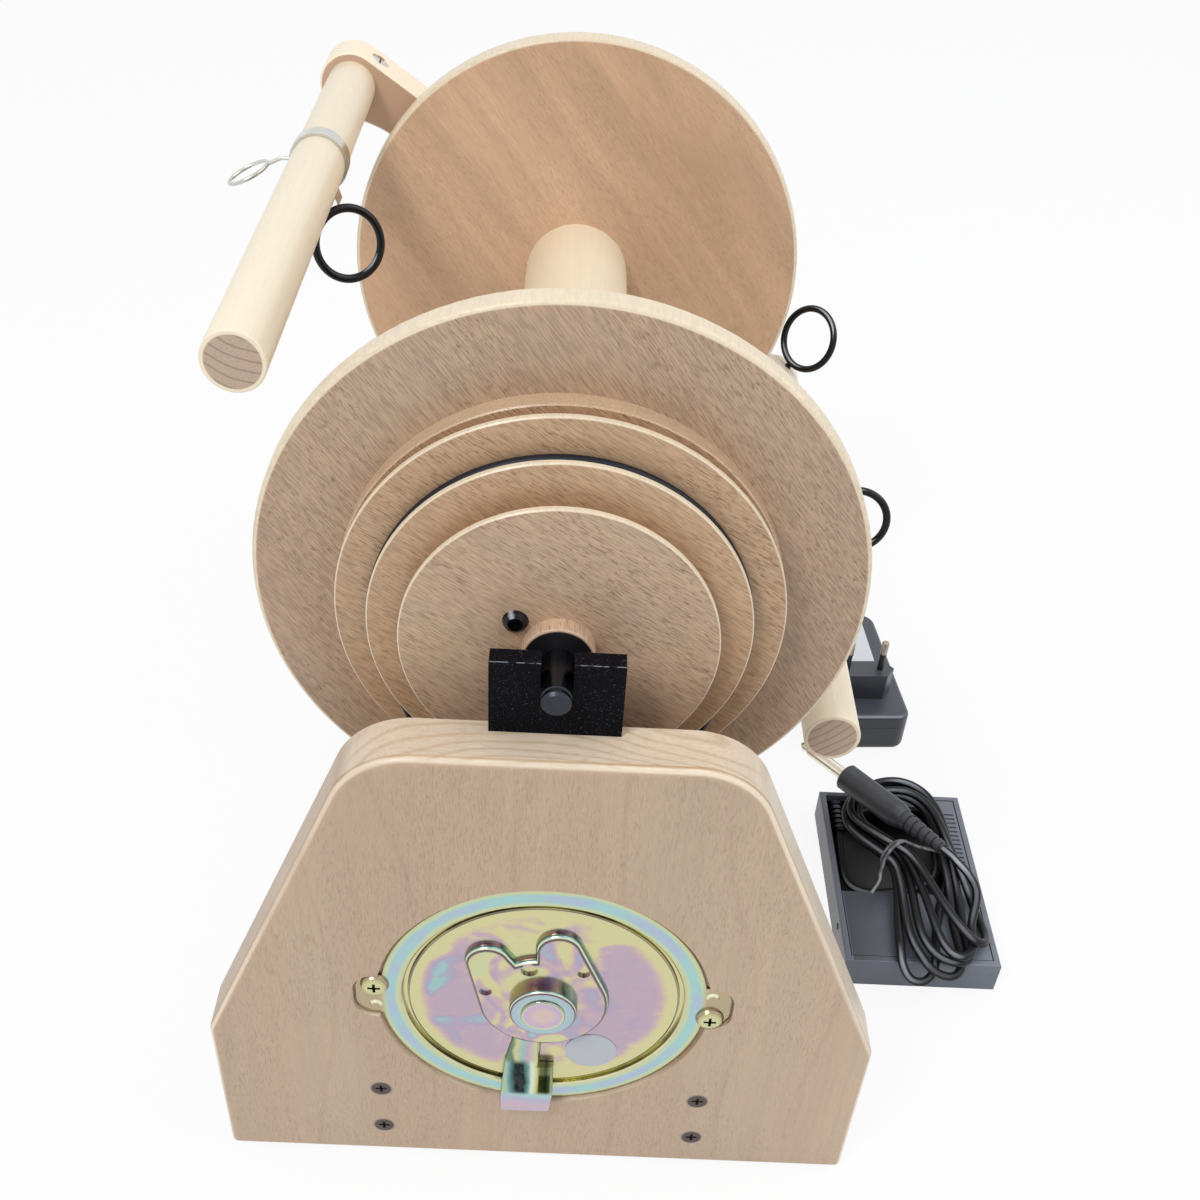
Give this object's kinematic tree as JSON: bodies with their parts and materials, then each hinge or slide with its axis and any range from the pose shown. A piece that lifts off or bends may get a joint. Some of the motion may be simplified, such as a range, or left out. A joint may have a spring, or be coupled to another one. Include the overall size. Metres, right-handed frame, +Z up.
{
  "type": "electric yarn spinner",
  "caption": "Electric yarn spinner: a belt-driven bobbin turns inside a braked two-armed flyer between wooden end panels, with a foot pedal on a corded jack plug and a wall adapter.",
  "frame": {"origin": "on the ground, under the middle of the centre foot below the motor panel, in the vertical plane of the spindle", "axes": "+Y along the spindle from the motor panel towards the orifice, +Z up, +X to the side where the pedal and the adapter stand"},
  "size_m": [0.3661, 0.4486, 0.3553],
  "materials": {
    "beech_board": "satin lacquer",
    "beech_pale": "satin lacquer",
    "hardwood_dark": "satin lacquer",
    "hardwood_tan": "satin lacquer",
    "black_plate": "powder coat",
    "black_screw": "black oxide",
    "spindle_steel": "turned",
    "bright_steel": "bright",
    "nickel_wire": "polished nickel",
    "yellow_zinc": "iridescent zinc plating",
    "bronze": "sintered",
    "ferrite": "matte",
    "copper": "varnished winding",
    "carbon": "matte",
    "black_nylon": "matte",
    "black_rubber": "matte",
    "cotton": "braided",
    "circuit_green": "board",
    "black_gloss": "gloss",
    "pedal_plastic": "fine texture",
    "cord_black": "satin",
    "plug_metal": "bright",
    "adapter_plastic": "fine texture",
    "label_white": "paper"
  },
  "bodies": {
    "frame": {"motor_panel": "beech_board", "front_panel": "beech_board", "rails": "beech_board", "rubber_feet": "black_rubber", "frame_screws": "black_screw", "shaft_rest": "black_plate", "orifice_plate": "black_plate", "rest_screws": "black_screw", "orifice_bearing": "black_nylon", "motor_housing": "yellow_zinc", "motor_lead_cover": "yellow_zinc", "motor_label": "label_white", "motor_screws": "yellow_zinc", "motor_end_plate": "yellow_zinc", "motor_bushes": "bronze", "motor_magnets": "ferrite", "motor_brushes": "carbon", "drive_belt": "black_rubber", "brake_cord": "cotton", "brake_spring": "bright_steel", "brake_hook": "bright_steel", "control_fascia": "black_plate", "control_box": "black_nylon", "circuit_board": "circuit_green", "rocker_frame": "black_gloss", "dc_inlet": "black_nylon", "pedal_socket": "black_nylon", "pedal_base": "pedal_plastic", "pedal_spring": "bright_steel", "pedal_switch": "black_nylon", "pedal_gland": "black_rubber", "pedal_cord": "cord_black", "cord_hank": "cord_black", "cord_tie": "cord_black", "jack_shank": "plug_metal", "jack_handle": "black_rubber", "adapter_base": "adapter_plastic", "adapter_cover": "adapter_plastic", "adapter_pins": "bright_steel", "adapter_circuit": "circuit_green"},
    "bobbin": {"whorl": "hardwood_tan", "whorl_screw": "black_screw", "bobbin_flanges": "hardwood_dark", "bobbin_core": "beech_pale", "bobbin_hub": "beech_pale", "bobbin_bushes": "black_nylon"},
    "flyer": {"flyer_shaft": "spindle_steel", "flyer_crossbar": "beech_board", "flyer_arms": "beech_pale", "arm_screws": "bright_steel", "screw_eyes": "black_screw", "orifice_tube": "bright_steel"},
    "sliding_guide": {"guide_clip": "nickel_wire"},
    "rotor": {"motor_armature": "copper", "motor_shaft": "bright_steel", "motor_pulley": "black_nylon"},
    "brake_knob": {"brake_peg": "black_nylon"},
    "speed_dial": {"speed_knob": "black_nylon"},
    "direction_switch": {"direction_rocker": "black_gloss"},
    "treadle": {"pedal_treadle": "pedal_plastic"}
  },
  "joints": [
    {"name": "bobbin_spin", "type": "hinge", "parent": "frame", "child": "bobbin", "pos_m": [0, 0.1895, 0.2477], "axis": [0, 1, 0], "continuous": true},
    {"name": "flyer_spin", "type": "hinge", "parent": "frame", "child": "flyer", "pos_m": [0, 0.1895, 0.2477], "axis": [0, 1, 0], "continuous": true},
    {"name": "motor_spin", "type": "hinge", "parent": "frame", "child": "rotor", "pos_m": [0, 0.0195, 0.105], "axis": [0, 1, 0], "continuous": true},
    {"name": "guide_slide", "type": "slide", "parent": "flyer", "child": "sliding_guide", "axis": [0, 1, 0], "range_m": [-0.018, 0.088]},
    {"name": "brake_turn", "type": "hinge", "parent": "frame", "child": "brake_knob", "pos_m": [0.046, 0.4195, 0.2077], "axis": [0, 1, 0], "range_deg": [0, 320]},
    {"name": "speed_turn", "type": "hinge", "parent": "frame", "child": "speed_dial", "pos_m": [-0.04, 0.4195, 0.036], "axis": [0, 1, 0], "range_deg": [-150, 150]},
    {"name": "direction_tilt", "type": "hinge", "parent": "frame", "child": "direction_switch", "pos_m": [-0.006, 0.4158, 0.036], "axis": [1, 0, 0], "range_deg": [-10, 10]},
    {"name": "treadle_press", "type": "hinge", "parent": "frame", "child": "treadle", "pos_m": [0.18, 0.1175, 0.011], "axis": [-1, 0, 0], "range_deg": [0, 2], "stiffness_Nm_per_rad": 8, "springref_deg": -1.15, "deforming": ["pedal_spring"]}
  ],
  "couplings": [
    {"joint": "motor_spin", "follows": "bobbin_spin", "ratio": 3.5167}
  ]
}
